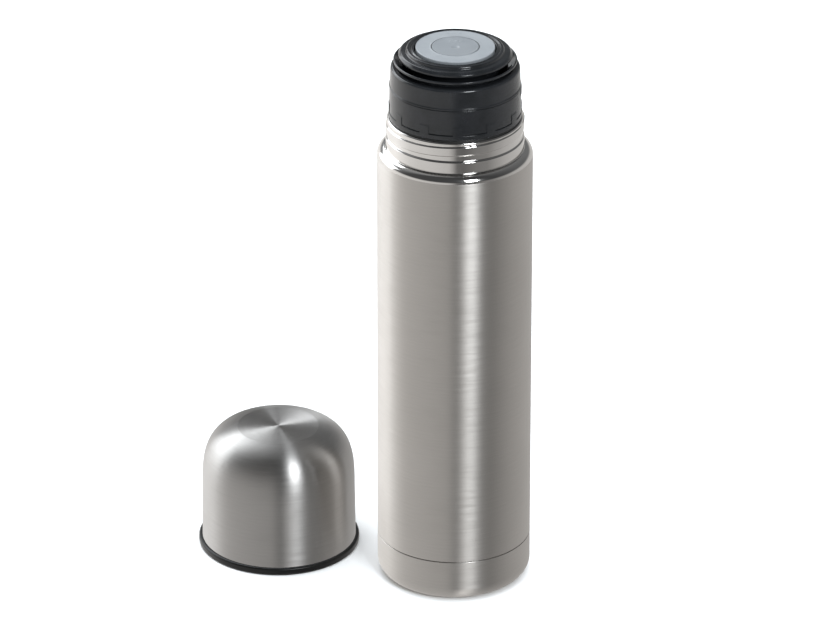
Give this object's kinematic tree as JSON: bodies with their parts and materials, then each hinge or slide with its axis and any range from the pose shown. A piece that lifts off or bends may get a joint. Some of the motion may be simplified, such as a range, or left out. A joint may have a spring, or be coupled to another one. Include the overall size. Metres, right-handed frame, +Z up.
{
  "type": "vacuum flask",
  "caption": "Double-walled steel vacuum flask with a push-button screw stopper, and its domed steel drinking cup standing beside it.",
  "frame": {"origin": "the flask's axis at the plane it stands on", "axes": "+Z up along the flask's axis, -Y towards the viewer, and the cup stands towards -X"},
  "size_m": [0.1532, 0.0997, 0.2618],
  "materials": {
    "brushed_steel": "brushed round the axis, polished at the shoulder and neck",
    "plain_steel": "plain satin",
    "solder": "dull",
    "foil": "bright foil",
    "getter_metal": "sintered, dull",
    "gloss_black": "glossy moulded",
    "black_plastic": "satin moulded",
    "grey_plastic": "satin moulded",
    "black_silicone": "soft matt",
    "spring_wire": "drawn wire"
  },
  "bodies": {
    "flask": {"outer_shell": "brushed_steel", "base_cap": "brushed_steel", "outer_bottom": "plain_steel", "vacuum_seal": "solder", "inner_bottle": "plain_steel", "inner_bottom": "plain_steel", "radiation_foil": "foil", "getter": "getter_metal"},
    "gasket": {"lip_gasket": "black_silicone"},
    "stopper": {"stopper_plug": "black_plastic", "plug_seal": "black_silicone", "key_ring": "gloss_black", "head_collar": "gloss_black", "pour_lip": "gloss_black", "top_cap": "gloss_black", "latch_sleeve": "black_plastic", "stem_seal": "black_silicone"},
    "pour_button": {"open_button": "grey_plastic", "valve_stem": "black_plastic", "valve_plate": "black_plastic", "valve_seal": "black_silicone", "return_spring": "spring_wire"},
    "release": {"release_ring": "grey_plastic", "release_spring": "spring_wire"},
    "cup": {"cup_shell": "brushed_steel", "cup_liner": "black_plastic"}
  },
  "joints": [
    {"name": "stopper_rise", "type": "slide", "parent": "flask", "child": "gasket", "axis": [0, 0, 1], "range_m": [0, 0.01]},
    {"name": "stopper_turn", "type": "hinge", "parent": "gasket", "child": "stopper", "pos_m": [0, 0, 0.2289], "axis": [0, 0, 1], "range_deg": [0, 720]},
    {"name": "button_press", "type": "slide", "parent": "stopper", "child": "pour_button", "axis": [0, 0, -1], "range_m": [0, 0.0042], "stiffness_N_per_m": 400, "springref_m": -0.004, "deforming": ["return_spring"]},
    {"name": "release_press", "type": "slide", "parent": "stopper", "child": "release", "axis": [0, 0, -1], "range_m": [0, 0.0015], "stiffness_N_per_m": 600, "springref_m": -0.003, "deforming": ["release_spring"]},
    {"name": "cup_lift", "type": "slide", "parent": "flask", "child": "cup", "axis": [0, 0, 1], "range_m": [0, 0.12]}
  ],
  "couplings": [
    {"joint": "stopper_turn", "follows": "stopper_rise", "rad_per_m": 1256.6}
  ]
}
